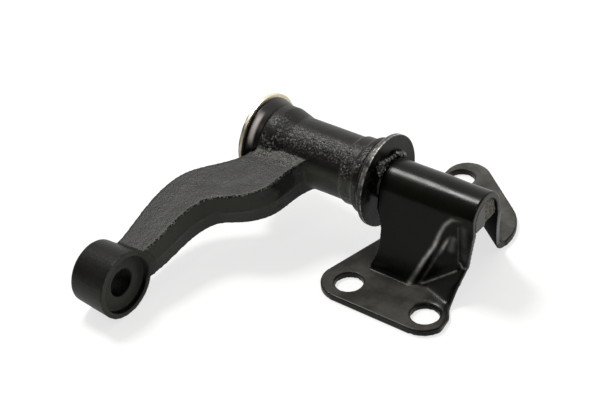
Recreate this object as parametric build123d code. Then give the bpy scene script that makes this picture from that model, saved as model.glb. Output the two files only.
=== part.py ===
from build123d import *
import math
import os

# Frame: X runs along the pivot shaft to the free end of the saddle, Z is up, the flange lies on Z = 0.
# The origin is midway between the two front bolt holes, on the underside of the flange.

# Pivot line
axis_y = 34.0
axis_z = 38.0

# Saddle bracket, a pressed sheet
sheet = 3.2
shaft_r = 8.9
seat_fit = 0.03
saddle_in = shaft_r + seat_fit
saddle_out = saddle_in + sheet
saddle_x0 = -17.8
saddle_x1 = 30.8
front_foot = 13.0
back_foot = 70.5
back_turn_x = 8.8
back_slope = -0.8
bolt_pitch = 40.6
bolt_r = 6.5
ear_x = -18.8
ear_y = 93.0
front_bend = 1.8
back_bend = 4.5

# Recess beside the second front hole
strip_y = 22.7
recess_low_x = 12.2
recess_turn_x = 18.3
recess_turn_z = 27.0
recess_flank = 45.0
floor_foot_y = 16.9
valley_x = 23.4
valley_z = 14.8
flare_end_x = 31.0
flare_end_y = 8.5

# Flange outline: corner x, corner y, corner radius
flange_corners = [
    (-33.7, -11.6, 12.2),
    (31.5, -11.5, 12.4),
    (31.5, 2.5, 5.0),
    (26.0, 11.0, 0.5),
    (33.0, 11.0, 0.5),
    (33.0, 57.0, 0.5),
    (24.6, 57.0, 3.0),
    (24.6, 77.0, 25.0),
    (-12.9, 106.8, 12.0),
    (-28.2, 106.8, 10.5),
    (-28.2, 80.0, 25.0),
    (-23.6, 44.0, 25.0),
    (-33.9, 1.5, 6.0),
]

# Shaft, plate, washer and nut
plate_x = -19.9
plate_t = 3.7
plate_r = 21.3
journal_r = 8.0
thread_r = 6.0
end_washer_t = 2.0
end_washer_r = 20.8
end_washer_x = -88.7
nut_flats = 19.0
nut_t = 5.5
shaft_flat = 3.0
end_step_y = -1.3
end_step_x = 24.8
end_weld_back = 1.0
bead_r = 14.4

# Arm forging
barrel_x0 = -82.0
barrel_x1 = -26.0
barrel_r = 15.3
spigot_r = 14.0
spigot_len = 4.2
bush_r = 10.6
arm_reach = 102.6
# Plan of the arm at mid height: x, share of the reach
outer_side = [(-85.6, 0.088), (-86.0, 0.205), (-95.2, 0.302), (-105.5, 0.409)]
outer_side += [(-109.5, 0.546), (-109.2, 0.7), (-107.6, 0.906)]
inner_side = [(-93.4, 0.906), (-89.3, 0.71), (-86.4, 0.55), (-83.2, 0.498), (-76.0, 0.455), (-67.0, 0.394)]
inner_side += [(-61.7, 0.32), (-59.4, 0.24), (-51.5, 0.088)]
eye_r = 16.2
eye_far_r = 14.8
eye_x0 = -113.3
eye_x1 = -93.3
eye_bore_r = 6.65
eye_recess_r = 13.7
eye_recess = 3.0
arm_half = 9.9
arm_half_eye = 7.9
arm_draft = 5.0
root_r = 2.0

# Bushes and seals
run_fit = 0.05
press_fit = 0.01
end_gap = 0.3
bush_len = 19.0
bush_flange_r = 13.9
seal_r = 19.4
collar_r0 = 19.3
collar_r1 = 17.3

arm_droop = math.asin((axis_z - eye_r) / arm_reach)
pivot = Axis((0, axis_y, axis_z), (1, 0, 0))
turning = Plane(origin=(0, axis_y, axis_z), x_dir=(1, 0, 0), z_dir=(0, -1, 0))


def turned(points, angle=360.0):
    return revolve(turning * make_face(Polyline(*points, close=True)), pivot, angle)


def box_between(low, high):
    size = [b - a for a, b in zip(low, high)]
    middle = [(a + b) / 2 for a, b in zip(low, high)]
    return Pos(*middle) * Box(*size)


def plane_through(a, b, c):
    a, b, c = Vector(*a), Vector(*b), Vector(*c)
    return Plane(origin=a, z_dir=(b - a).cross(c - a))


def wall_line(foot, side, inset):
    dy = foot - axis_y
    dz = sheet - axis_z
    angle = math.atan2(dz, dy) + side * math.acos(saddle_out / math.hypot(dy, dz))
    r = saddle_out - inset
    top = (axis_y + r * math.cos(angle), axis_z + r * math.sin(angle))
    down = (math.cos(angle - side * math.pi / 2), math.sin(angle - side * math.pi / 2))
    low = -6.0
    return top, (top[0] + (low - top[1]) / down[1] * down[0], low)


def tunnel_section(x, foot, inset):
    front_top, front_low = wall_line(front_foot, -1, inset)
    back_top, back_low = wall_line(foot, 1, inset)
    crown = (axis_y, axis_z + saddle_out - inset)
    outline = Line(front_low, front_top) + ThreePointArc(front_top, crown, back_top)
    outline += Line(back_top, back_low) + Line(back_low, front_low)
    return Plane(origin=(x, 0, 0), x_dir=(0, 1, 0), z_dir=(1, 0, 0)) * make_face(outline)


def nearest_edges(solid, pairs):
    found = []
    for a, b in pairs:
        a, b = Vector(*a), Vector(*b)
        found.append(
            min(
                solid.edges(),
                key=lambda e: min(
                    ((e @ 0) - a).length + ((e @ 1) - b).length,
                    ((e @ 0) - b).length + ((e @ 1) - a).length,
                ),
            )
        )
    return found


# Lines of the recess on the outer skin, from the flange upwards
far_x = saddle_x1 + 10.0
far_foot = back_foot + back_slope * (far_x - back_turn_x)
wall_top = wall_line(front_foot, -1, 0)[0]
wall_slope = (wall_top[0] - front_foot) / (wall_top[1] - sheet)
flank_run = math.tan(math.radians(recess_flank))
flank_lean = (recess_turn_x - recess_low_x) / recess_turn_z


def flank_point(y, z):
    line_x = min(recess_turn_x, recess_low_x + flank_lean * z)
    return line_x - (strip_y - y) * flank_run * math.hypot(1, flank_lean), y, z


ridge_foot = flank_point(front_foot, sheet)
ridge_turn = flank_point(front_foot + wall_slope * (recess_turn_z - sheet), recess_turn_z)
floor_foot = flank_point(floor_foot_y, sheet)
floor_rise = (strip_y - floor_foot_y) / (valley_x - floor_foot[0])
flank_depth = floor_rise * (valley_x - recess_turn_x) / (1 - floor_rise * flank_run)
crease_turn = flank_point(strip_y - flank_depth, recess_turn_z)
crease_top_z = sheet + (strip_y - flank_depth - front_foot) / wall_slope
crease_top = flank_point(strip_y - flank_depth, crease_top_z)
ridge_top = (valley_x - (strip_y - wall_top[0]) / floor_rise, wall_top[0], wall_top[1])
valley_low = (valley_x, strip_y, valley_z)
valley_top = (valley_x, strip_y, wall_top[1])
flare_end = (flare_end_x, flare_end_y, sheet)
floor_plane = plane_through(floor_foot, valley_low, valley_top)
flare = plane_through(floor_foot, flare_end, valley_low)
flare_slope = (flare_end_y - floor_foot_y) / (flare_end_x - floor_foot[0])
flare_far_y = flare_end_y + flare_slope * (far_x - flare_end_x)


def height_on(plane, x, y):
    n = plane.z_dir
    return plane.origin.Z - (n.X * (x - plane.origin.X) + n.Y * (y - plane.origin.Y)) / n.Z


def flank_side(z, lean, inset):
    slope = math.radians(recess_flank)
    across = Vector(-1, 0, lean).normalized()
    out = across * math.cos(slope) + Vector(0, 1, 0) * math.sin(slope)
    line_x = recess_low_x + flank_lean * z
    block = box_between((0, -10, -12), (60, strip_y + inset, 60))
    return split(block, bisect_by=Plane(origin=Vector(line_x, strip_y, z) + out * inset, z_dir=out), keep=Keep.BOTTOM)


def recess_tool(inset):
    tool = flank_side(0, flank_lean, inset) + flank_side(recess_turn_z, 0, inset)
    return split(tool, bisect_by=floor_plane.offset(-inset), keep=Keep.TOP)


def skin(inset):
    first = tunnel_section(saddle_x0, back_foot, inset)
    turn = tunnel_section(back_turn_x, back_foot, inset)
    last = tunnel_section(far_x, far_foot, inset)
    tunnel = loft([first, turn], ruled=True) + loft([turn, last], ruled=True)
    ramp = box_between((0, -14, -6), (far_x, strip_y + sheet, 30))
    ramp = split(ramp, bisect_by=flare.offset(-inset), keep=Keep.BOTTOM)
    slab = box_between((-100, -55, -6), (100, 145, sheet - inset))
    return tunnel - recess_tool(inset) + ramp + slab


foot_lines = [
    ((saddle_x0, front_foot, sheet), ridge_foot),
    (ridge_foot, floor_foot),
    (floor_foot, (far_x, flare_far_y, sheet)),
]
ridge_lines = [(ridge_foot, ridge_turn), (ridge_turn, crease_top), (crease_top, ridge_top)]
crease_lines = [(floor_foot, crease_turn), (crease_turn, crease_top)]
floor_lines = [
    (valley_top, valley_low),
    (valley_low, floor_foot),
    (valley_low, (far_x, strip_y, height_on(flare, far_x, strip_y))),
]
back_lines = [
    ((far_x, far_foot, sheet), (back_turn_x, back_foot, sheet)),
    ((back_turn_x, back_foot, sheet), (saddle_x0, back_foot, sheet)),
]

outer = skin(0)
outer = fillet(nearest_edges(outer, foot_lines + ridge_lines + crease_lines + floor_lines), front_bend)
outer = fillet(nearest_edges(outer, back_lines), back_bend)

inner = skin(sheet)
inner = fillet(nearest_edges(inner, back_lines), back_bend + sheet)
lead = loft([tunnel_section(saddle_x0, back_foot, sheet), tunnel_section(0, back_foot, sheet)], ruled=True)
lead += box_between((saddle_x0, -10, -6), (0, 90, 0))
lead_line = ((saddle_x0, front_foot + 2.5, 0), (0, front_foot + 2.5, 0))
lead = fillet(nearest_edges(lead, [lead_line]), front_bend + sheet)

# Sheet outlines
corners = [(x, y) for x, y, r in flange_corners]
plan = make_face(FilletPolyline(*corners, radius=[r for x, y, r in flange_corners], close=True))
plan = extrude(plan, amount=80)
side = Plane(origin=(0, 0, 0), x_dir=(1, 0, 0), z_dir=(0, -1, 0))


def end_cut(foot_x, bulge_x, y0, y1):
    edge = ThreePointArc((foot_x, 6.0), (bulge_x, 19.0), (saddle_x1, 34.0))
    past = far_x + 5.0
    outline = Line((foot_x, -1), edge @ 0) + edge + Line(edge @ 1, (past, 34)) + Line((past, 34), (past, -1))
    outline += Line((past, -1), (foot_x, -1))
    return Pos(0, y1, 0) * extrude(side * make_face(outline), amount=y1 - y0)


waist = Spline((saddle_x0, 33.0), (saddle_x0 + 3.2, 24.0), (saddle_x0 + 2.9, 14.5), (saddle_x0 - 0.2, 4.6))
waist_edge = waist + Line(waist @ 1, (-26, 4.6)) + Line((-26, 4.6), (-26, 33)) + Line((-26, 33), waist @ 0)
waist_face = make_face(waist_edge)
waist_cut = Pos(0, 78, 0) * extrude(side * waist_face, amount=72)

bracket = (outer & plan) & box_between((-60, -20, 0), (saddle_x1, 120, 60))
bracket = bracket - inner - lead
bracket -= end_cut(26.0, 28.0, 11.0, axis_y) + end_cut(24.2, 27.4, axis_y, 62.0)
bracket -= waist_cut
bracket -= Pos(0, axis_y, axis_z) * Rot(0, 90, 0) * Cylinder(saddle_in, 200)
for x, y in ((-bolt_pitch / 2, 0), (bolt_pitch / 2, 0), (ear_x, ear_y)):
    bracket -= Pos(x, y, 0) * Cylinder(bolt_r, 20)

# Pivot shaft: thread, journal, seat under the saddle
plate_back = plate_x - plate_t
nut_end = end_washer_x - end_washer_t - nut_t
shaft = turned(
    [
        (nut_end, 0),
        (nut_end, thread_r - 0.8),
        (nut_end + 0.8, thread_r),
        (end_washer_x, thread_r),
        (end_washer_x, journal_r),
        (plate_back, journal_r),
        (plate_back, shaft_r),
        (saddle_x1, shaft_r),
        (saddle_x1, 0),
    ]
)
shaft -= box_between((18, axis_y - 12, axis_z - 12), (40, axis_y + 12, axis_z - shaft_flat))
step = box_between((end_step_x, axis_y + end_step_y, axis_z - 12), (40, axis_y + 12, axis_z + 12))
shaft -= step

end_weld = Pos(0, axis_y, axis_z) * Rot(0, 90, 0) * Cylinder(shaft_r, 200)
end_weld &= box_between(
    (end_step_x + seat_fit, axis_y + end_step_y + seat_fit, axis_z - shaft_flat),
    (saddle_x1 - end_weld_back, axis_y + 12, axis_z + 12),
)

bore = shaft_r + seat_fit
thrust_plate = turned(
    [
        (plate_back, bore),
        (plate_back, plate_r),
        (plate_x, plate_r),
        (plate_x, bore),
    ]
)

bead_x0 = plate_x + seat_fit
bead_x1 = saddle_x0 - 0.15
plate_weld = turned(
    [
        (bead_x0, bore),
        (bead_x0, bead_r),
        (bead_x0 + 1.7, bead_r - 2.0),
        (bead_x1, bead_r - 4.0),
        (bead_x1, bore),
    ],
    108,
).rotate(pivot, -44)

end_washer_back = end_washer_x - end_washer_t
end_washer = turned(
    [
        (end_washer_back, thread_r + seat_fit),
        (end_washer_back, end_washer_r),
        (end_washer_x, end_washer_r),
        (end_washer_x, thread_r + seat_fit),
    ]
)

nut_plane = Plane(origin=(nut_end, axis_y, axis_z), x_dir=(0, 1, 0), z_dir=(1, 0, 0))
hexagon = nut_plane * RegularPolygon(nut_flats / 2, 6, major_radius=False)
end_nut = extrude(hexagon, amount=nut_t)
end_nut -= Pos(nut_end, axis_y, axis_z) * Rot(0, 90, 0) * Cylinder(thread_r + seat_fit, 4 * nut_t)

# Arm forging: barrel, arm and eye
barrel = turned(
    [
        (barrel_x0, 0),
        (barrel_x0, 17.5),
        (barrel_x0 + 5.0, 17.5),
        (barrel_x0 + 13.0, barrel_r),
        (-37.4, barrel_r),
        (-36.4, 16.2),
        (barrel_x1 - 4.6, 16.3),
        (barrel_x1 - 2.8, 18.1),
        (barrel_x1, 18.1),
        (barrel_x1, 0),
    ]
)
spigot = turned(
    [
        (barrel_x0 - spigot_len, 0),
        (barrel_x0 - spigot_len, spigot_r),
        (barrel_x0 + 1.0, spigot_r),
        (barrel_x0 + 1.0, 0),
    ]
)

blade = Plane(
    origin=(0, axis_y, axis_z),
    x_dir=(1, 0, 0),
    z_dir=(0, -math.sin(arm_droop), math.cos(arm_droop)),
)
outer_edge = Spline(*[(x, -share * arm_reach) for x, share in outer_side])
inner_edge = Spline(*[(x, -share * arm_reach) for x, share in inner_side])
arm_face = make_face(
    outer_edge + Line(outer_edge @ 1, inner_edge @ 0) + inner_edge + Line(inner_edge @ 1, outer_edge @ 0)
)
arm_top = extrude(blade * arm_face, amount=arm_half, taper=arm_draft)
arm_thin = math.atan((arm_half - arm_half_eye) / arm_reach)
top_face = Plane(blade.location * Pos(0, 0, arm_half) * Rot(math.degrees(arm_thin), 0, 0))
arm_top = split(arm_top, bisect_by=top_face, keep=Keep.BOTTOM)
arm_blade = arm_top + mirror(arm_top, about=blade)

eye_y = axis_y - arm_reach * math.cos(arm_droop)
eye_axis = Axis((0, eye_y, eye_r), (1, 0, 0))
eye_plane = Plane(origin=(0, eye_y, eye_r), x_dir=(1, 0, 0), z_dir=(0, -1, 0))
eye_profile = [
    (eye_x0, 0),
    (eye_x0, eye_far_r - 0.5),
    (eye_x0 + 0.5, eye_far_r),
    (eye_x1, eye_r),
    (eye_x1, 0),
]
eye = revolve(eye_plane * make_face(Polyline(*eye_profile, close=True)), eye_axis, 360)
collar_clear = Pos(barrel_x0 - 15, axis_y, axis_z) * Rot(0, 90, 0) * Cylinder(collar_r0 + end_gap, 30)
arm_blade -= collar_clear
arm = barrel + arm_blade
root = [
    e
    for e in arm.edges()
    if all(barrel.distance_to(e @ s) + arm_blade.distance_to(e @ s) < 0.001 for s in (0.2, 0.5, 0.8))
]
arm = fillet(root, root_r) + spigot + eye
arm -= Pos(0, axis_y, axis_z) * Rot(0, 90, 0) * Cylinder(bush_r, 300)
arm -= Pos(0, eye_y, eye_r) * Rot(0, 90, 0) * Cylinder(eye_bore_r, 300)
eye_floor = eye_x1 - eye_recess
arm -= Pos(eye_floor + 10, eye_y, eye_r) * Rot(0, 90, 0) * Cylinder(eye_recess_r, 20)

# Bushes pressed into the barrel, running on the journal
bush_in = journal_r + run_fit
bush_out = bush_r - press_fit
outer_face = barrel_x0 - spigot_len
outer_bush = turned(
    [
        (end_washer_x + end_gap, bush_in),
        (end_washer_x + end_gap, bush_flange_r),
        (outer_face, bush_flange_r),
        (outer_face, bush_out),
        (outer_face + bush_len, bush_out),
        (outer_face + bush_len, bush_in),
    ]
)
inner_bush = turned(
    [
        (barrel_x1 - bush_len, bush_in),
        (barrel_x1 - bush_len, bush_out),
        (barrel_x1, bush_out),
        (barrel_x1, bush_flange_r),
        (plate_back - end_gap, bush_flange_r),
        (plate_back - end_gap, bush_in),
    ]
)

# Seals around the bush flanges
seal_in = spigot_r + 0.05
dust_seal = turned(
    [
        (barrel_x1, seal_in),
        (barrel_x1, seal_r - 1.2),
        (plate_back - end_gap, seal_r),
        (plate_back - end_gap, seal_in),
    ]
)
dust_collar = turned(
    [
        (end_washer_x + end_gap, seal_in),
        (end_washer_x + end_gap, collar_r0),
        (barrel_x0, collar_r1),
        (barrel_x0, seal_in),
    ]
)

nodes = {
    "bracket": bracket,
    "pivot_shaft": shaft,
    "thrust_plate": thrust_plate,
    "plate_weld": plate_weld,
    "end_weld": end_weld,
    "end_washer": end_washer,
    "end_nut": end_nut,
    "idler_arm": arm,
    "inner_bush": inner_bush,
    "outer_bush": outer_bush,
    "dust_seal": dust_seal,
    "dust_collar": dust_collar,
}

os.makedirs("parts", exist_ok=True)
for name, shape in nodes.items():
    export_step(shape, f"parts/{name}.step")
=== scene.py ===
import math

import bmesh
import bpy
import numpy as np
from mathutils import Matrix, Vector, noise


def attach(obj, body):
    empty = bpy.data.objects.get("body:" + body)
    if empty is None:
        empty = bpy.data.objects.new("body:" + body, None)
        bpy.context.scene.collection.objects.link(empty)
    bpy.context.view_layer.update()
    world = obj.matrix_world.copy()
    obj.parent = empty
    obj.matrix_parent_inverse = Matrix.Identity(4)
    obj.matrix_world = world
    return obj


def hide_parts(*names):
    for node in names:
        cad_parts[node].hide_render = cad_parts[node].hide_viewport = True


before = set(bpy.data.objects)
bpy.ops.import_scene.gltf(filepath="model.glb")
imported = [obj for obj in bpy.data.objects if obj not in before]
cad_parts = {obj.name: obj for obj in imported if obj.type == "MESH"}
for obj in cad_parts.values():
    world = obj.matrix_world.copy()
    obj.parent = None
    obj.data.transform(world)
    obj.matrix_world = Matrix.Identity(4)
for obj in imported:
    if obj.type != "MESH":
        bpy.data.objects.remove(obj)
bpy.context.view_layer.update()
MM = 0.001

# Sizes of the part in millimetres, as in its CAD source
AXIS_Y, AXIS_Z = 34.0, 38.0
REACH, EYE_R = 102.6, 16.2
DROOP = math.asin((AXIS_Z - EYE_R) / REACH)
EYE_Y = AXIS_Y - REACH * math.cos(DROOP)
SHAFT_R, BUSH_SEAT_R, THREAD_BORE_R = 8.9, 14.05, 6.03
WASHER_R, WASHER_FACE, WASHER_BACK = 20.8, -88.7, -90.7
DISC_R, DISC_FACE, DISC_BACK = 21.8, -20.4, -23.6
DISC_STEP_X, DISC_STEP_R = -22.7, 20.3
COLLAR_R, COLLAR_FACE, COLLAR_BACK = 19.3, -82.0, -88.4
SEAL_R, SEAL_FACE, SEAL_BACK = 19.35, -23.9, -26.0
BEAD_X, BEAD_FRONT, BEAD_BACK = -19.3, -16.9, -20.45
SHEET = 3.2

# Grain of the remeshed pieces in millimetres
SHEET_VOXEL, BEAD_VOXEL, WELD_VOXEL = 0.46, 0.22, 0.25


# Materials
def start_material(name, base, roughness, metallic=0.0, specular=0.5):
    material = bpy.data.materials.new(name)
    material.use_nodes = True
    nodes = material.node_tree.nodes
    shader = nodes["Principled BSDF"]
    shader.inputs["Base Color"].default_value = (*base, 1)
    shader.inputs["Roughness"].default_value = roughness
    shader.inputs["Metallic"].default_value = metallic
    shader.inputs["Specular IOR Level"].default_value = specular
    return material, shader


def add(material, kind, **values):
    node = material.node_tree.nodes.new(kind)
    for key, value in values.items():
        if key in ("operation", "data_type", "attribute_name"):
            setattr(node, key, value)
        else:
            node.inputs[key.replace("_", " ")].default_value = value
    return node


def link(material, output, socket):
    material.node_tree.links.new(output, socket)


def coords(material, scale=(1, 1, 1)):
    source = add(material, "ShaderNodeTexCoord")
    mapping = add(material, "ShaderNodeMapping")
    mapping.inputs["Scale"].default_value = scale
    link(material, source.outputs["Object"], mapping.inputs["Vector"])
    return mapping.outputs["Vector"]


def noise_tex(material, vector, scale, detail=4.0, rough=0.55):
    node = add(material, "ShaderNodeTexNoise", Scale=scale, Detail=detail, Roughness=rough)
    link(material, vector, node.inputs["Vector"])
    return node.outputs["Fac"]


def ramp(material, value, stops):
    node = add(material, "ShaderNodeValToRGB")
    link(material, value, node.inputs["Fac"])
    while len(node.color_ramp.elements) < len(stops):
        node.color_ramp.elements.new(0.5)
    for element, (place, colour) in zip(node.color_ramp.elements, stops):
        element.position = place
        element.color = (*colour, 1) if len(colour) == 3 else colour
    return node.outputs["Color"]


def spread(material, value, low_in, high_in, low, high):
    node = add(material, "ShaderNodeMapRange")
    link(material, value, node.inputs["Value"])
    node.inputs["From Min"].default_value = low_in
    node.inputs["From Max"].default_value = high_in
    node.inputs["To Min"].default_value = low
    node.inputs["To Max"].default_value = high
    return node.outputs["Result"]


def maths(material, operation, a, b):
    node = add(material, "ShaderNodeMath", operation=operation)
    for i, value in enumerate((a, b)):
        if isinstance(value, (int, float)):
            node.inputs[i].default_value = value
        else:
            link(material, value, node.inputs[i])
    return node.outputs["Value"]


def mix_colour(material, factor, a, b):
    node = add(material, "ShaderNodeMix", data_type="RGBA")
    link(material, factor, node.inputs["Factor"])
    for name, value in (("A", a), ("B", b)):
        socket = [s for s in node.inputs if s.name == name and s.type == "RGBA"][0]
        if isinstance(value, tuple):
            socket.default_value = (*value, 1)
        else:
            link(material, value, socket)
    return [s for s in node.outputs if s.type == "RGBA"][0]


def bump(material, shader, height, distance, strength=1.0, previous=None):
    node = add(material, "ShaderNodeBump")
    node.inputs["Distance"].default_value = distance
    if isinstance(strength, (int, float)):
        node.inputs["Strength"].default_value = strength
    else:
        link(material, strength, node.inputs["Strength"])
    link(material, height, node.inputs["Height"])
    if previous is not None:
        link(material, previous, node.inputs["Normal"])
    link(material, node.outputs["Normal"], shader.inputs["Normal"])
    return node.outputs["Normal"]


def mask(material, name):
    return add(material, "ShaderNodeAttribute", attribute_name=name).outputs["Fac"]


# Black gloss of the pressed sheet, with masks for faces painted lighter as their sheen, the sheared edge
# and painted highlights on the ridges
def gloss_paint():
    material, shader = start_material("gloss_paint", (0.004, 0.0039, 0.003), 0.25, specular=0.105)
    at = coords(material)
    cloud = noise_tex(material, at, 55, 3)
    fine = noise_tex(material, at, 900, 5, 0.6)
    dust_and_sheen = noise_tex(material, at, 330, 6, 0.7)
    painted_light = mask(material, "painted_light")
    cut = mask(material, "cut")
    painted_highlight = mask(material, "painted_highlight")
    tone = ramp(material, cloud, [(0.3, (0.0026, 0.0026, 0.0018)), (0.7, (0.0045, 0.0044, 0.0033))])
    # Painted sheen: the masked upper faces and flange edges take a lighter tone
    top_sheen_cloud = noise_tex(material, at, 90, 5, 0.6)
    painted_top_sheen = ramp(material, top_sheen_cloud, [(0.35, (0.025, 0.024, 0.0215)), (0.65, (0.066, 0.063, 0.058))])
    tone = mix_colour(material, painted_light, tone, painted_top_sheen)
    tone = mix_colour(material, cut, tone, (0.125, 0.127, 0.118))
    # Painted highlight: pale, partly metallic lines on the recess's ridges and the plate's rims
    tone = mix_colour(material, painted_highlight, tone, (0.50, 0.49, 0.46))
    link(material, maths(material, "MULTIPLY", painted_highlight, 0.75), shader.inputs["Metallic"])
    specks = spread(material, dust_and_sheen, 0.66, 0.76, 0.0, 0.35)
    link(material, mix_colour(material, specks, tone, (0.05, 0.048, 0.043)), shader.inputs["Base Color"])
    base = spread(material, cloud, 0.3, 0.7, 0.2, 0.28)
    satin = maths(material, "MAXIMUM", maths(material, "MAXIMUM", painted_light, cut), painted_highlight)
    rough = maths(material, "ADD", base, maths(material, "MULTIPLY", satin, 0.2))
    link(material, rough, shader.inputs["Roughness"])
    peel = bump(material, shader, noise_tex(material, at, 260, 2), 0.00004, 0.35)
    relief = maths(material, "ADD", maths(material, "MULTIPLY", painted_light, 0.5), 0.12)
    bump(material, shader, fine, 0.00003, relief, peel)
    return material


# Black paint over a forged skin, with masks for rough scale with painted glints and for sides painted paler
# as if lit
def forged_paint(name, specular, painted_lit_colour):
    material, shader = start_material(name, painted_lit_colour, 0.4, specular=specular)
    at = coords(material)
    cloud = noise_tex(material, at, 70, 4)
    grain = noise_tex(material, at, 1250, 3, 0.6)
    scale = noise_tex(material, at, 1050, 3, 0.6)
    rough_zone = mask(material, "scale_and_glints")
    painted_light = mask(material, "painted_light")
    tone = ramp(material, cloud, [(0.3, (0.0035, 0.0034, 0.0027)), (0.72, (0.0075, 0.0072, 0.006))])
    # Painted light: the masked faces take the paler colour, as if lit
    tone = mix_colour(material, painted_light, tone, painted_lit_colour)
    # Painted glints: pale specks in the rough scale zones
    painted_glints = maths(material, "MULTIPLY", spread(material, scale, 0.51, 0.62, 0.0, 0.9), rough_zone)
    link(material, mix_colour(material, painted_glints, tone, (0.15, 0.147, 0.134)), shader.inputs["Base Color"])
    base = spread(material, cloud, 0.3, 0.7, 0.33, 0.41)
    base = maths(material, "SUBTRACT", base, maths(material, "MULTIPLY", rough_zone, 0.14))
    duller = maths(material, "MULTIPLY", painted_light, 0.1)
    link(material, maths(material, "ADD", base, duller), shader.inputs["Roughness"])
    skin = bump(material, shader, grain, 0.00016, 0.7)
    relief = maths(material, "ADD", maths(material, "MULTIPLY", rough_zone, 0.95), 0.04)
    bump(material, shader, scale, 0.0006, relief, skin)
    return material


# Weld metal under paint or bare, with pale flecks painted in as glints
def weld_paint(name, dark, light, painted_glint_colour, roughness, scale, relief):
    material, shader = start_material(name, dark, roughness, specular=0.5)
    at = coords(material)
    bumps = noise_tex(material, at, scale, 5, 0.6)
    tone = ramp(material, bumps, [(0.35, dark), (0.56, light), (0.66, painted_glint_colour)])
    link(material, tone, shader.inputs["Base Color"])
    rough = spread(material, bumps, 0.3, 0.7, roughness - 0.04, roughness + 0.12)
    link(material, rough, shader.inputs["Roughness"])
    bump(material, shader, bumps, relief, 0.8)
    return material


# Yellow zinc plate, with dark streaks painted along one stretch of the rim as its reflection
def zinc():
    material, shader = start_material("zinc_yellow", (0.72, 0.60, 0.40), 0.38, metallic=1.0)
    at = coords(material)
    streak = noise_tex(material, coords(material, (6, 1, 1)), 260, 5, 0.6)
    cloud = noise_tex(material, at, 90, 3)
    edge = mask(material, "edge")
    plate = ramp(material, cloud, [(0.3, (0.74, 0.68, 0.56)), (0.7, (0.60, 0.53, 0.40))])
    painted_dark_reflection = ramp(material, streak, [(0.44, (0.02, 0.019, 0.015)), (0.6, (0.52, 0.46, 0.32))])
    amount = maths(material, "MULTIPLY", edge, 0.9)
    link(material, mix_colour(material, amount, plate, painted_dark_reflection), shader.inputs["Base Color"])
    link(material, spread(material, streak, 0.3, 0.7, 0.3, 0.5), shader.inputs["Roughness"])
    bump(material, shader, streak, 0.00008, 0.5)
    return material


# Smooth dark rubber, with a painted highlight as a pale band
def rubber():
    material, shader = start_material("seal_rubber", (0.01, 0.009, 0.009), 0.34, specular=0.2)
    at = coords(material)
    cloud = noise_tex(material, at, 120, 4)
    dark = ramp(material, cloud, [(0.3, (0.004, 0.0035, 0.0036)), (0.7, (0.010, 0.009, 0.009))])
    tone = mix_colour(material, mask(material, "painted_sheen"), dark, (0.46, 0.42, 0.41))
    link(material, tone, shader.inputs["Base Color"])
    link(material, spread(material, cloud, 0.3, 0.7, 0.26, 0.4), shader.inputs["Roughness"])
    bump(material, shader, noise_tex(material, at, 900, 3), 0.00003, 0.4)
    return material


def shaft_paint():
    material, shader = start_material("shaft_paint", (0.10, 0.10, 0.095), 0.5, specular=0.4)
    at = coords(material)
    cloud = noise_tex(material, at, 240, 5, 0.6)
    tone = ramp(material, cloud, [(0.3, (0.085, 0.084, 0.078)), (0.7, (0.135, 0.134, 0.125))])
    link(material, tone, shader.inputs["Base Color"])
    link(material, spread(material, cloud, 0.3, 0.7, 0.42, 0.58), shader.inputs["Roughness"])
    bump(material, shader, noise_tex(material, at, 1300, 4), 0.00005, 0.5)
    return material


def nylon():
    material, shader = start_material("bush_nylon", (0.6, 0.58, 0.5), 0.5, specular=0.4)
    at = coords(material)
    cloud = noise_tex(material, at, 150, 3)
    tone = ramp(material, cloud, [(0.3, (0.52, 0.50, 0.42)), (0.7, (0.62, 0.60, 0.52))])
    link(material, tone, shader.inputs["Base Color"])
    bump(material, shader, cloud, 0.00005, 0.3)
    return material


# Painted shade: a darker, duller copy of the paint for the faces inside the saddle and underneath
def shaded_inside_paint():
    material, shader = start_material("shaded_inside_paint", (0.003, 0.003, 0.0026), 0.85, specular=0.05)
    at = coords(material)
    cloud = noise_tex(material, at, 200, 4)
    tone = ramp(material, cloud, [(0.3, (0.0022, 0.0022, 0.0018)), (0.7, (0.0048, 0.0046, 0.004))])
    link(material, tone, shader.inputs["Base Color"])
    bump(material, shader, noise_tex(material, at, 900, 4), 0.00005, 0.5)
    return material


PAINT = gloss_paint()
SHADED_INSIDE = shaded_inside_paint()
FORGED = forged_paint("forged_paint", 0.13, (0.060, 0.060, 0.053))
# A copy of the forging paint with weaker reflection: painted shade for the eye
EYE_SHADED_PAINT = forged_paint("eye_shaded_paint", 0.08, (0.064, 0.064, 0.057))
BEAD = weld_paint(
    "bead_paint", (0.005, 0.005, 0.004), (0.03, 0.032, 0.029), (0.36, 0.38, 0.35), 0.14, 620, 0.00012
)
RAW = weld_paint(
    "raw_weld", (0.035, 0.028, 0.02), (0.11, 0.09, 0.065), (0.19, 0.16, 0.12), 0.5, 500, 0.0004
)
ZINC = zinc()
RUBBER = rubber()
SHAFT = shaft_paint()
NYLON = nylon()


# Mesh helpers
def link_object(name, mesh, material, body, slot, *nodes):
    piece = bpy.data.objects.new(name, mesh)
    bpy.context.scene.collection.objects.link(piece)
    mesh.materials.clear()
    mesh.materials.append(material)
    mesh.polygons.foreach_set("use_smooth", [True] * len(mesh.polygons))
    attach(piece, body)
    if nodes:
        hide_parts(*nodes)


def positions(mesh):
    points = np.zeros(len(mesh.vertices) * 3)
    mesh.vertices.foreach_get("co", points)
    return points.reshape(-1, 3) / MM


def normals(mesh):
    values = np.zeros(len(mesh.vertices) * 3, np.float32)
    mesh.vertex_normals.foreach_get("vector", values)
    return values.reshape(-1, 3).astype(float)


def place(mesh, points):
    mesh.vertices.foreach_set("co", (points * MM).astype(np.float32).ravel())
    mesh.update()


def set_mask(mesh, name, values):
    layer = mesh.attributes.new(name, "FLOAT", "POINT")
    layer.data.foreach_set("value", np.clip(values, 0, 1).astype(np.float32))


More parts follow.
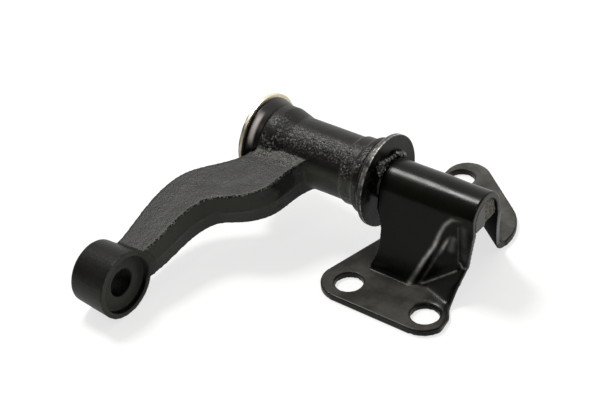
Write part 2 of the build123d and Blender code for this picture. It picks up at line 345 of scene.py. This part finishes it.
def face_field(mesh, name):
    values = np.zeros(len(mesh.polygons) * 3)
    mesh.polygons.foreach_get(name, values)
    return values.reshape(-1, 3)


def neighbours(mesh, total):
    edges = np.zeros(len(mesh.edges) * 2, np.int64)
    mesh.edges.foreach_get("vertices", edges)
    a, b = edges.reshape(-1, 2).T
    return a, b, np.bincount(a, minlength=total) + np.bincount(b, minlength=total)


def neighbour_mean(values, a, b, count):
    return (np.bincount(a, values[b], len(values)) + np.bincount(b, values[a], len(values))) / count


# Taubin smoothing: a pull inward and a push outward in turn, so the size stays
def relax(mesh, rounds, pull=0.55, push=-0.57):
    points = positions(mesh)
    a, b, count = neighbours(mesh, len(points))
    for i in range(rounds):
        for share in (pull, push):
            mean = np.stack([neighbour_mean(points[:, k], a, b, count) for k in range(3)], axis=1)
            points = points + share * (mean - points)
    place(mesh, points)


# Plain smoothing where the weight is above zero
def soften(mesh, weight, rounds):
    points = positions(mesh)
    a, b, count = neighbours(mesh, len(points))
    for i in range(rounds):
        for k in range(3):
            points[:, k] += 0.5 * weight * (neighbour_mean(points[:, k], a, b, count) - points[:, k])
    place(mesh, points)


def remesh(mesh, voxel):
    piece = bpy.data.objects.new("working", mesh)
    bpy.context.scene.collection.objects.link(piece)
    step = piece.modifiers.new("voxels", "REMESH")
    step.mode = "VOXEL"
    step.voxel_size = voxel * MM
    depsgraph = bpy.context.evaluated_depsgraph_get()
    made = bpy.data.meshes.new_from_object(piece.evaluated_get(depsgraph))
    bpy.data.objects.remove(piece)
    return made


def cad_copy(node):
    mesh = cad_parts[node].data.copy()
    shape = bmesh.new()
    shape.from_mesh(mesh)
    bmesh.ops.remove_doubles(shape, verts=shape.verts, dist=1e-6)
    shape.to_mesh(mesh)
    shape.free()
    mesh.materials.clear()
    return mesh


def lumps(points, size, seed):
    shift = Vector((seed * 7.3, seed * 3.1, seed * 5.7))
    return np.array([noise.fractal(Vector(point) / size + shift, 0.6, 2.0, 3) for point in points])


# 1 along the path, falling off over the width
def near_line(points, path, width):
    nearest = np.full(len(points), 1e9)
    for start, end in zip(path[:-1], path[1:]):
        a, b = np.array(start), np.array(end)
        t = np.clip((points - a) @ (b - a) / ((b - a) @ (b - a)), 0, 1)
        nearest = np.minimum(nearest, np.linalg.norm(points - a - t[:, None] * (b - a), axis=1))
    return np.exp(-((nearest / width) ** 2))


def smoothstep(x, a, b):
    t = np.clip((x - a) / (b - a), 0, 1)
    return t * t * (3 - 2 * t)


def window(x, a, b, soft):
    return smoothstep(x, a - soft, a + soft) * (1 - smoothstep(x, b - soft, b + soft))


# Distance from the shaft's axis, and turn in degrees from the top toward the front
def about_shaft(points):
    dy, dz = points[:, 1] - AXIS_Y, points[:, 2] - AXIS_Z
    return np.hypot(dy, dz), np.degrees(np.arctan2(-dy, dz))


# Lean to the arm's upper face, reach out along the arm, height over its middle, distance from the eye
def arm_frame(points, facing):
    dy, dz = points[:, 1] - AXIS_Y, points[:, 2] - AXIS_Z
    tilt = -facing[:, 1] * math.sin(DROOP) + facing[:, 2] * math.cos(DROOP)
    reach = -dy * math.cos(DROOP) - dz * math.sin(DROOP)
    height = -dy * math.sin(DROOP) + dz * math.cos(DROOP)
    return tilt, reach, height, np.hypot(points[:, 1] - EYE_Y, points[:, 2] - EYE_R)


def above_ground(mesh, points):
    points[:, 2] = np.maximum(points[:, 2], 0.0)
    place(mesh, points)


def rounded(profile, rounding):
    out = []
    count = len(profile)
    for i, (x, radius) in enumerate(profile):
        here = Vector((x, radius))
        before = Vector(profile[i - 1]) - here
        after = Vector(profile[(i + 1) % count]) - here
        if rounding[i] == 0:
            out.append(tuple(here))
            continue
        reach = min(rounding[i], before.length * 0.45, after.length * 0.45)
        a = here + before.normalized() * reach
        b = here + after.normalized() * reach
        for k in range(6):
            t = k / 5
            out.append(tuple((1 - t) ** 2 * a + 2 * t * (1 - t) * here + t * t * b))
    return out


# A closed profile of (x, radius) points turned about the shaft
def lathe(profile, rounding, steps=160):
    ring = rounded(profile, rounding)
    shape = bmesh.new()
    loops = []
    for s in range(steps):
        angle = 2 * math.pi * s / steps
        sin, cos = math.sin(angle), math.cos(angle)
        spots = [Vector((x, AXIS_Y - radius * sin, AXIS_Z + radius * cos)) for x, radius in ring]
        loops.append([shape.verts.new(spot * MM) for spot in spots])
    for s in range(steps):
        a, b = loops[s], loops[(s + 1) % steps]
        for i in range(len(ring)):
            j = (i + 1) % len(ring)
            shape.faces.new((a[i], b[i], b[j], a[j]))
    bmesh.ops.recalc_face_normals(shape, faces=shape.faces)
    mesh = bpy.data.meshes.new("turned")
    shape.to_mesh(mesh)
    shape.free()
    return mesh


# Bracket: the sheet of the CAD, remeshed and softened
mesh = remesh(cad_copy("bracket"), SHEET_VOXEL)
relax(mesh, 5)
points, facing = positions(mesh), normals(mesh)
x, y, z = points.T
front = smoothstep(-facing[:, 1] + facing[:, 2] + facing[:, 0], 0.0, 0.4)

# Softer folds in the recess, along the flare at its foot and at the flange's corner
recess = window(x, 1.5, 29.0, 1.5) * window(y, 12.5, 24.5, 1.0) * smoothstep(z, 4.0, 7.0)
recess = recess * (1 - smoothstep(z, 41.0, 44.0)) * front
flare = window(x, 6.5, 29.0, 2.5) * window(y, 3.0, 17.0, 2.0) * (1 - smoothstep(z, 8.0, 11.0)) * front
soften(mesh, recess, 14)
soften(mesh, flare, 60)
corner_x, corner_y, corner_size = 31.3, 3.0, 3.2
corner = np.exp(-((x - corner_x) ** 2 + (y - corner_y) ** 2) / corner_size ** 2) * (z < 4.5)
soften(mesh, corner, 50)

# The slight waviness of pressed sheet
points, facing = positions(mesh), normals(mesh)
points += facing * (lumps(points, 16.0, 1) * 0.05)[:, None]
above_ground(mesh, points)
x, y, z = points.T
facing = normals(mesh)

# Painted sheen: upper faces and flange edges painted lighter, with painted shade darker toward the flare;
# and the sheared end of the saddle
upper = smoothstep(facing[:, 2], 0.93, 0.99) * (1 - smoothstep(z, 4.5, 6.5))
rim = (1 - smoothstep(np.abs(facing[:, 2]), 0.3, 0.7)) * (1 - smoothstep(z, SHEET, SHEET + 0.6)) * (z > 0.2)
shade = 1 - smoothstep(x, 10, 27) * smoothstep(y, -2, 12) * (1 - smoothstep(y, 30, 40))
set_mask(mesh, "painted_light", np.maximum(upper, rim * 0.8) * (0.62 + 0.38 * smoothstep(y, 40, 70)) * shade)
set_mask(mesh, "cut", smoothstep(facing[:, 0], 0.85, 0.97) * smoothstep(x, 29.6, 30.4))

# Painted highlights on the lines of the recess: the ridge, then strength, width and path of the others
ridge = [(3.4, 13.2, 3.6), (4.8, 14.3, 6.4), (9.4, 16.6, 17.1), (13.4, 18.7, 24.9)]
ridge += [(15.7, 20.2, 32.6), (17.6, 21.3, 37.1), (20.5, 22.2, 40.3), (25.5, 22.7, 41.0)]
painted_highlight = near_line(points, ridge, 0.85) * (0.5 + 0.5 * window(z, 6, 30, 5)) * (1 - smoothstep(x, 17, 27))
lines = [
    (0.8 * window(z, 21.5, 30.0, 3.0), 0.8, [(15.3, 19.9, 21.0), (20.2, 21.7, 32.5)]),
    (0.22, 0.6, [(7.4, 15.8, 3.5), (10.3, 18.2, 10.7), (16.5, 20.4, 24.0)]),
    (0.3, 1.5, [(20.3, 21.7, 24.0), (21.3, 22.0, 30.0)]),
    (0.14, 1.7, [(26.3, 22.7, 21.0), (26.3, 22.7, 37.0)]),
    (0.55, 0.45, [(7.9, 15.8, 3.4), (12.6, 17.8, 6.2), (22.9, 21.4, 13.4)]),
    (0.18, 0.35, [(23.4, 22.7, 17.0), (23.4, 22.7, 37.0)]),
    (0.7, 0.45, [(24.3, 22.7, 17.5), (25.6, 22.6, 15.4), (27.2, 22.6, 15.6)]),
]
for strength, width, path in lines:
    painted_highlight = np.maximum(painted_highlight, strength * near_line(points, path, width))
painted_highlight = painted_highlight * front * (0.9 + 0.35 * lumps(points, 3.5, 31))
set_mask(mesh, "painted_highlight", painted_highlight)
link_object("bracket_sheet", mesh, PAINT, "bracket", "black_paint", "bracket")

# Faces inside the saddle and underneath take the painted shade
mesh.materials.append(SHADED_INSIDE)
centre, facing = face_field(mesh, "center") / MM, face_field(mesh, "normal")
middle = np.array([0.0, 42.0, 20.0])
inner = ((middle - centre)[:, 1:] * facing[:, 1:]).sum(axis=1) > 0
inner &= (facing[:, 2] < 0.2) & (np.abs(facing[:, 0]) < 0.6)
inner &= (centre[:, 1] > 14) & (centre[:, 1] < 72) & (centre[:, 2] > 2.0)
inner |= facing[:, 2] < -0.8
mesh.polygons.foreach_set("material_index", inner.astype(np.int32))

# Arm forging: the CAD's solid, remeshed, with scale and a parting line
mesh = remesh(cad_copy("idler_arm"), SHEET_VOXEL)
relax(mesh, 5)
points, facing = positions(mesh), normals(mesh)
tilt, reach, height, from_eye = arm_frame(points, facing)
clear = smoothstep(reach, 16, 20) * smoothstep(from_eye, EYE_R + 1.0, EYE_R + 2.4)
soften(mesh, clear * window(np.abs(tilt), 0.25, 0.985, 0.1), 16)

# Zones of the forging
points, facing = positions(mesh), normals(mesh)
x = points[:, 0]
tilt, reach, height, from_eye = arm_frame(points, facing)
from_axis, turn = about_shaft(points)
blade = smoothstep(reach, 13, 19) * smoothstep(from_eye, EYE_R + 0.3, EYE_R + 2.0)
barrel = 1 - smoothstep(from_axis, 18.6, 21.0)
outside = smoothstep(from_axis, 12.5, 13.5)
side = 1 - smoothstep(np.abs(tilt), 0.45, 0.75)

# The parting line, and rough scale with painted glints on the arm's edge, its root, the swell, the end ring
# and the barrel
parting = np.exp(-((height + 0.4) / 0.7) ** 2) * side * blade
broken = 0.5 + 0.9 * lumps(points, 9.0, 3)
edge = window(tilt, 0.35, 0.93, 0.08) * blade * (height > 0)
root = (1 - smoothstep(np.abs(from_axis - 18.5), 1.5, 4.5)) * smoothstep(reach, 5, 9)
root = root * smoothstep(height, -2, 3) * window(x, -90, -55, 2)
patchy = np.clip(0.6 + 1.3 * lumps(points, 5.0, 23), 0, 1)
swell = window(x, -79.5, -73.5, 1.2) * barrel * outside * window(turn, 5, 110, 14) * patchy
ring = window(x, -37.5, -26, 1.0) * barrel * outside * window(turn, 10, 120, 14) * patchy
band = window(x, -72, -36, 3) * barrel * outside * window(turn, 14, 50, 9)
# Painted highlight: a thin line along the eye's rims
eye_lip_highlight = np.exp(-((from_eye - EYE_R) / 0.5) ** 2) * (np.abs(tilt) < 0.9)
eye_lip_highlight = eye_lip_highlight * np.exp(-((np.abs(facing[:, 0]) - 0.7) / 0.25) ** 2)
scale_and_glints = edge * (0.4 + 0.6 * (facing[:, 0] > 0)) + 0.7 * root * patchy
scale_and_glints = np.clip(scale_and_glints + swell * 0.8 + ring * 0.75 + band * 0.5 + eye_lip_highlight * 0.7, 0, 1)
grit = lumps(points, 1.1, 5)
broad = lumps(points, 8.0, 7)
shift = parting * broken * 0.3 + scale_and_glints * outside * grit * 0.22 + outside * broad * 0.06
points += facing * shift[:, None]
above_ground(mesh, points)
set_mask(mesh, "scale_and_glints", scale_and_glints)

# Painted light: paler sides of the arm and the eye, and a paler underside of the barrel
facing = normals(mesh)
eye = 1 - smoothstep(from_eye, EYE_R + 0.2, EYE_R + 1.2)
eye_side = smoothstep(np.abs(facing[:, 0]) * 0.8 - facing[:, 2] + 0.3 * (facing[:, 1] < 0), -0.3, 0.6) * eye
outer = smoothstep(reach + 9.0 * lumps(points, 7.0, 29), 26, 33)
painted_light = smoothstep(facing[:, 0], 0.15, 0.5) * side * blade * outer
painted_light = np.maximum(painted_light, barrel * outside * smoothstep(turn, 62, 84) * (points[:, 0] > -82))
set_mask(mesh, "painted_light", np.maximum(painted_light, eye_side))
link_object("arm_forging", mesh, FORGED, "arm", "forging_paint", "idler_arm")
# The eye takes the painted-shade copy of the paint
mesh.materials.append(EYE_SHADED_PAINT)
centre = face_field(mesh, "center") / MM
in_eye = np.hypot(centre[:, 1] - EYE_Y, centre[:, 2] - EYE_R) < EYE_R + 0.4
mesh.polygons.foreach_set("material_index", in_eye.astype(np.int32))

# Thrust plate: a disc with a step behind, rings on its face, and painted highlight lines, broken up, on its
# two rims
disc = [(DISC_BACK, SHAFT_R), (DISC_BACK, DISC_STEP_R - 0.4), (DISC_STEP_X, DISC_STEP_R)]
disc += [(DISC_STEP_X, DISC_R), (DISC_STEP_X + 0.6, DISC_R), (DISC_FACE - 0.7, DISC_R)]
disc += [(DISC_FACE, DISC_R)] + [(DISC_FACE, DISC_R - 0.8 - 1.1 * i) for i in range(11)]
disc += [(DISC_FACE, SHAFT_R)]
mesh = lathe(disc, [0, 0.4, 0.2, 0.5, 0, 0, 0.6] + [0] * 12, 480)
points = positions(mesh)
points[:, 0] += 0.05 * lumps(points, 9.0, 11)
place(mesh, points)
from_axis, turn = about_shaft(points)
face_edge = smoothstep(from_axis, DISC_R - 0.5, DISC_R - 0.2)
# Painted light: the face paler in patches and toward its edge
set_mask(mesh, "painted_light", 0.15 + 0.45 * lumps(points, 6.0, 19) + 0.35 * face_edge)
set_mask(mesh, "cut", np.zeros(len(points)))
# Painted highlights along the front rim and the step's rim
front_rim_highlight = np.exp(-((points[:, 0] - DISC_FACE + 0.35) / 0.3) ** 2)
back_rim_highlight = np.exp(-((points[:, 0] - DISC_STEP_X - 0.25) / 0.3) ** 2)
painted_rim_highlights = 0.8 * front_rim_highlight + 0.4 * back_rim_highlight
painted_rim_highlights = painted_rim_highlights * face_edge * np.clip(0.55 + 1.2 * lumps(points, 2.0, 37), 0, 1)
set_mask(mesh, "painted_highlight", painted_rim_highlights)
link_object("thrust_disc", mesh, PAINT, "bracket", "black_paint", "thrust_plate")

# End washer
washer = [(WASHER_BACK, THREAD_BORE_R), (WASHER_BACK, WASHER_R), (WASHER_FACE, WASHER_R)]
mesh = lathe(washer + [(WASHER_FACE, THREAD_BORE_R)], [0, 0.45, 0.3, 0])
points = positions(mesh)
from_axis, turn = about_shaft(points)
rim = smoothstep(from_axis, WASHER_R - 0.6, WASHER_R - 0.3)
rim = rim * (1 - smoothstep(points[:, 0], WASHER_FACE - 0.6, WASHER_FACE - 0.3))
# Painted dark reflection along the side of the rim toward the front
set_mask(mesh, "edge", rim * window(turn, 25, 100, 15))
link_object("washer_disc", mesh, ZINC, "bracket", "zinc_yellow", "end_washer")

# Dust collar
collar = [(COLLAR_BACK, BUSH_SEAT_R), (COLLAR_BACK, COLLAR_R), (COLLAR_BACK + 2.8, COLLAR_R - 0.8)]
collar += [(COLLAR_FACE, COLLAR_R - 2.0), (COLLAR_FACE, BUSH_SEAT_R)]
mesh = lathe(collar, [0, 0.8, 2.4, 0.6, 0])
points = positions(mesh)
from_axis, turn = about_shaft(points)
# Painted highlight: a pale band on the collar's cone
dust_and_sheen = window(points[:, 0], COLLAR_BACK + 1.4, COLLAR_BACK + 3.5, 0.5) * window(turn, 22, 66, 9)
set_mask(mesh, "painted_sheen", dust_and_sheen * 0.85)
link_object("collar_ring", mesh, RUBBER, "arm", "seal_rubber", "dust_collar")

# Dust seal
seal = [(SEAL_BACK, BUSH_SEAT_R), (SEAL_BACK, SEAL_R - 1.15), (SEAL_FACE - 1.0, SEAL_R - 0.05)]
seal += [(SEAL_FACE, SEAL_R), (SEAL_FACE, BUSH_SEAT_R)]
mesh = lathe(seal, [0, 0.4, 0.5, 0.5, 0])
link_object("seal_ring", mesh, RUBBER, "arm", "seal_rubber", "dust_seal")

# Weld bead, made of lumps: distance from the shaft's axis, angle from the top, radius
lump_places = [(13.4, -54, 1.5), (13.2, -43, 2.1), (12.6, -33, 2.0), (13.0, -24, 1.5), (12.4, -13, 1.4)]
lump_places += [(12.1, -3, 1.35), (12.6, 7, 1.5), (13.6, 16, 1.7), (14.6, 25, 1.8), (13.8, 34, 2.1)]
lump_places += [(11.8, 29, 1.8), (11.0, 19, 1.6), (11.9, 40, 1.5)]
shape = bmesh.new()
for distance, angle, radius in lump_places:
    angle = math.radians(angle)
    centre = Vector((BEAD_X, AXIS_Y - distance * math.sin(angle), AXIS_Z + distance * math.cos(angle)))
    lump_at = Matrix.Translation(centre * MM)
    bmesh.ops.create_icosphere(shape, subdivisions=3, radius=radius * MM, matrix=lump_at)
mesh = bpy.data.meshes.new("bead")
shape.to_mesh(mesh)
shape.free()
mesh = remesh(mesh, BEAD_VOXEL)
relax(mesh, 2)
points, facing = positions(mesh), normals(mesh)
points += facing * (lumps(points, 1.6, 13) * 0.22)[:, None]
points[:, 0] = np.clip(points[:, 0], BEAD_BACK, BEAD_FRONT)
place(mesh, points)
link_object("plate_bead", mesh, BEAD, "bracket", "black_paint", "plate_weld")

# End weld
mesh = remesh(cad_copy("end_weld"), WELD_VOXEL)
relax(mesh, 4)
points, facing = positions(mesh), normals(mesh)
points += facing * (np.minimum(lumps(points, 1.6, 17) * 0.5, 0.1))[:, None]
place(mesh, points)
link_object("end_weld_metal", mesh, RAW, "bracket", "raw_weld", "end_weld")

# CAD nodes that stay
stays = {"pivot_shaft": SHAFT, "end_nut": ZINC, "inner_bush": NYLON, "outer_bush": NYLON}
for node, material in stays.items():
    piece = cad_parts[node]
    piece.data.materials.clear()
    piece.data.materials.append(material)

# Floor, light and camera
half, drop = 4, -0.0002
floor_mesh = bpy.data.meshes.new("floor")
corners = [(-half, -half, drop), (half, -half, drop), (half, half, drop), (-half, half, drop)]
floor_mesh.from_pydata(corners, [], [(0, 1, 2, 3)])
floor = bpy.data.objects.new("floor", floor_mesh)
bpy.context.scene.collection.objects.link(floor)

# The floor's own colour takes the shadow, and its glow makes it pale where it is seen
material = bpy.data.materials.new("pale_floor")
material.use_nodes = True
material.node_tree.nodes.clear()
diffuse = add(material, "ShaderNodeBsdfDiffuse", Color=(0.22, 0.22, 0.22, 1))
glow = add(material, "ShaderNodeEmission", Color=(1, 1, 1, 1))
both = add(material, "ShaderNodeAddShader")
out = add(material, "ShaderNodeOutputMaterial")
rays = add(material, "ShaderNodeLightPath").outputs
seen = maths(material, "MAXIMUM", rays["Is Glossy Ray"], rays["Is Transmission Ray"])
seen = maths(material, "MAXIMUM", rays["Is Camera Ray"], seen)
link(material, maths(material, "MULTIPLY", seen, 0.71), glow.inputs["Strength"])
link(material, diffuse.outputs[0], both.inputs[0])
link(material, glow.outputs[0], both.inputs[1])
link(material, both.outputs[0], out.inputs["Surface"])
floor_mesh.materials.append(material)

world = bpy.data.worlds.new("studio")
bpy.context.scene.world = world
world.use_nodes = True
world.node_tree.nodes.clear()

# A pale back wall and a dark room in front
room = add(world, "ShaderNodeBackground", Strength=1.0)
out = add(world, "ShaderNodeOutputWorld")
sky = add(world, "ShaderNodeTexCoord")
toward = add(world, "ShaderNodeVectorMath", operation="DOT_PRODUCT")
toward.inputs[1].default_value = (-0.5, 0.866, 0.0)
link(world, sky.outputs["Generated"], toward.inputs[0])
stops = [(0.2, (0.10, 0.10, 0.085)), (0.35, (0.16, 0.16, 0.14))]
stops += [(0.47, (0.62, 0.61, 0.58)), (0.62, (1.3, 1.28, 1.24))]
level = spread(world, toward.outputs["Value"], -1, 1, 0, 1)
link(world, ramp(world, level, stops), room.inputs["Color"])
link(world, room.outputs[0], out.inputs["Surface"])


def softbox(name, direction, distance, size, power, colour=(1, 1, 1)):
    lamp = bpy.data.lights.new(name, "AREA")
    lamp.shape = "RECTANGLE"
    lamp.size, lamp.size_y = size
    lamp.energy = power
    lamp.color = colour
    piece = bpy.data.objects.new(name, lamp)
    away = Vector(direction).normalized()
    centre = Vector((-0.03, 0.0, 0.03))
    piece.location = centre + away * distance
    piece.rotation_mode = "QUATERNION"
    piece.rotation_quaternion = away.to_track_quat("Z", "Y")
    bpy.context.scene.collection.objects.link(piece)


softbox("key", (-0.43, 0.08, 0.90), 1.3, (0.28, 0.28), 17.0, (1.0, 0.99, 0.96))
softbox("front", (0.09, -0.52, 0.85), 1.3, (0.2, 0.2), 1.5, (1.0, 0.99, 0.97))

# The photograph's camera, solved from the part's holes, rims and edges
stand_x, stand_y, stand_z = 0.29006, -0.39785, 0.43338
yaw, pitch, roll = math.radians(40.07), math.radians(37.13), math.radians(-5.25)
forward = Vector((-math.sin(yaw) * math.cos(pitch), math.cos(yaw) * math.cos(pitch), -math.sin(pitch)))
right = Vector((math.cos(yaw), math.sin(yaw), 0))
up = right.cross(forward)
across = right * math.cos(roll) + up * math.sin(roll)
top = up * math.cos(roll) - right * math.sin(roll)
camera_data = bpy.data.cameras.new("camera")
camera_data.sensor_width = 36.0
camera_data.lens = 88.23
camera_data.clip_start = 0.01
camera_data.clip_end = 50
camera = bpy.data.objects.new("camera", camera_data)
bpy.context.scene.collection.objects.link(camera)
camera.matrix_world = Matrix(
    (
        (across.x, top.x, -forward.x, stand_x),
        (across.y, top.y, -forward.y, stand_y),
        (across.z, top.z, -forward.z, stand_z),
        (0, 0, 0, 1),
    )
)
bpy.context.scene.camera = camera
bpy.context.scene.view_settings.view_transform = "Standard"
